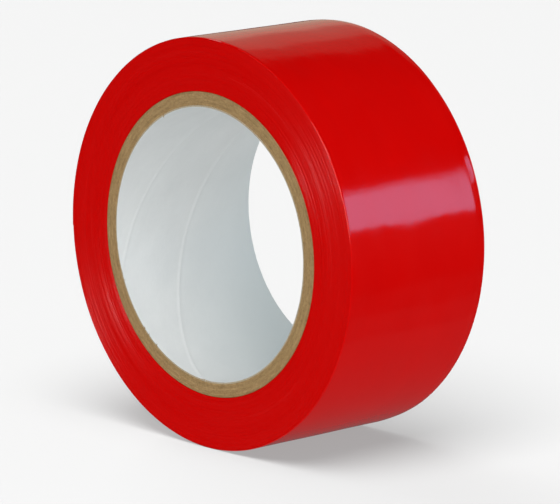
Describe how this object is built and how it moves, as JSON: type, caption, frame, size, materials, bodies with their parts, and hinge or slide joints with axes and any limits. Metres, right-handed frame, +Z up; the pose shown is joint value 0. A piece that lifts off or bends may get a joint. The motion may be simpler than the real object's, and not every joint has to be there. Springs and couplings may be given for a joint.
{
  "type": "adhesive tape roll",
  "caption": "Wide roll of red PVC insulating tape wound on a spiral cardboard core, with a loose end that peels off.",
  "frame": {"origin": "centre of the bore, midway between the two side faces", "axes": "+Y along the bore's axis, from the front side face to the back one; +Z up as the roll stands on its rim; the tape's loose end lies on the -X side, pointing down"},
  "size_m": [0.1142, 0.05, 0.1141],
  "materials": {
    "tape": "glossy PVC film",
    "kraft_board": "matt",
    "liner_paper": "smooth, matt"
  },
  "bodies": {
    "roll": {"core_liner": "liner_paper", "core_ply_1": "kraft_board", "core_ply_2": "kraft_board", "core_ply_3": "kraft_board", "core_ply_4": "kraft_board", "core_ply_5": "kraft_board", "core_ply_6": "kraft_board", "tape_pack": "tape", "tape_last_turn": "tape"},
    "tail_01": {"tape_tail_01": "tape"},
    "tail_02": {"tape_tail_02": "tape"},
    "tail_03": {"tape_tail_03": "tape"},
    "tail_04": {"tape_tail_04": "tape"},
    "tail_05": {"tape_tail_05": "tape"},
    "tail_06": {"tape_tail_06": "tape"},
    "tail_07": {"tape_tail_07": "tape"},
    "tail_08": {"tape_tail_08": "tape"},
    "tail_09": {"tape_tail_09": "tape"},
    "tail_10": {"tape_tail_10": "tape"},
    "tail_11": {"tape_tail_11": "tape"},
    "tail_12": {"tape_tail_12": "tape"}
  },
  "joints": [
    {"name": "peel_01", "type": "hinge", "parent": "roll", "child": "tail_01", "pos_m": [-0.03069, 0, 0.04817], "axis": [0, 1, 0], "range_deg": [0, 20]},
    {"name": "peel_02", "type": "hinge", "parent": "tail_01", "child": "tail_02", "pos_m": [-0.03477, 0, 0.04531], "axis": [0, 1, 0], "range_deg": [0, 20]},
    {"name": "peel_03", "type": "hinge", "parent": "tail_02", "child": "tail_03", "pos_m": [-0.03859, 0, 0.04211], "axis": [0, 1, 0], "range_deg": [0, 20]},
    {"name": "peel_04", "type": "hinge", "parent": "tail_03", "child": "tail_04", "pos_m": [-0.04211, 0, 0.03859], "axis": [0, 1, 0], "range_deg": [0, 20]},
    {"name": "peel_05", "type": "hinge", "parent": "tail_04", "child": "tail_05", "pos_m": [-0.04532, 0, 0.03478], "axis": [0, 1, 0], "range_deg": [0, 20]},
    {"name": "peel_06", "type": "hinge", "parent": "tail_05", "child": "tail_06", "pos_m": [-0.04818, 0, 0.03069], "axis": [0, 1, 0], "range_deg": [0, 20]},
    {"name": "peel_07", "type": "hinge", "parent": "tail_06", "child": "tail_07", "pos_m": [-0.05067, 0, 0.02638], "axis": [0, 1, 0], "range_deg": [0, 20]},
    {"name": "peel_08", "type": "hinge", "parent": "tail_07", "child": "tail_08", "pos_m": [-0.05278, 0, 0.02186], "axis": [0, 1, 0], "range_deg": [0, 20]},
    {"name": "peel_09", "type": "hinge", "parent": "tail_08", "child": "tail_09", "pos_m": [-0.05449, 0, 0.01718], "axis": [0, 1, 0], "range_deg": [0, 20]},
    {"name": "peel_10", "type": "hinge", "parent": "tail_09", "child": "tail_10", "pos_m": [-0.05578, 0, 0.01237], "axis": [0, 1, 0], "range_deg": [0, 20]},
    {"name": "peel_11", "type": "hinge", "parent": "tail_10", "child": "tail_11", "pos_m": [-0.05665, 0, 0.00746], "axis": [0, 1, 0], "range_deg": [0, 20]},
    {"name": "peel_12", "type": "hinge", "parent": "tail_11", "child": "tail_12", "pos_m": [-0.05708, 0, 0.00249], "axis": [0, 1, 0], "range_deg": [0, 20]}
  ],
  "couplings": [
    {"joint": "peel_02", "follows": "peel_01", "ratio": 1},
    {"joint": "peel_03", "follows": "peel_01", "ratio": 1},
    {"joint": "peel_04", "follows": "peel_01", "ratio": 1},
    {"joint": "peel_05", "follows": "peel_01", "ratio": 1},
    {"joint": "peel_06", "follows": "peel_01", "ratio": 1},
    {"joint": "peel_07", "follows": "peel_01", "ratio": 1},
    {"joint": "peel_08", "follows": "peel_01", "ratio": 1},
    {"joint": "peel_09", "follows": "peel_01", "ratio": 1},
    {"joint": "peel_10", "follows": "peel_01", "ratio": 1},
    {"joint": "peel_11", "follows": "peel_01", "ratio": 1},
    {"joint": "peel_12", "follows": "peel_01", "ratio": 1}
  ]
}
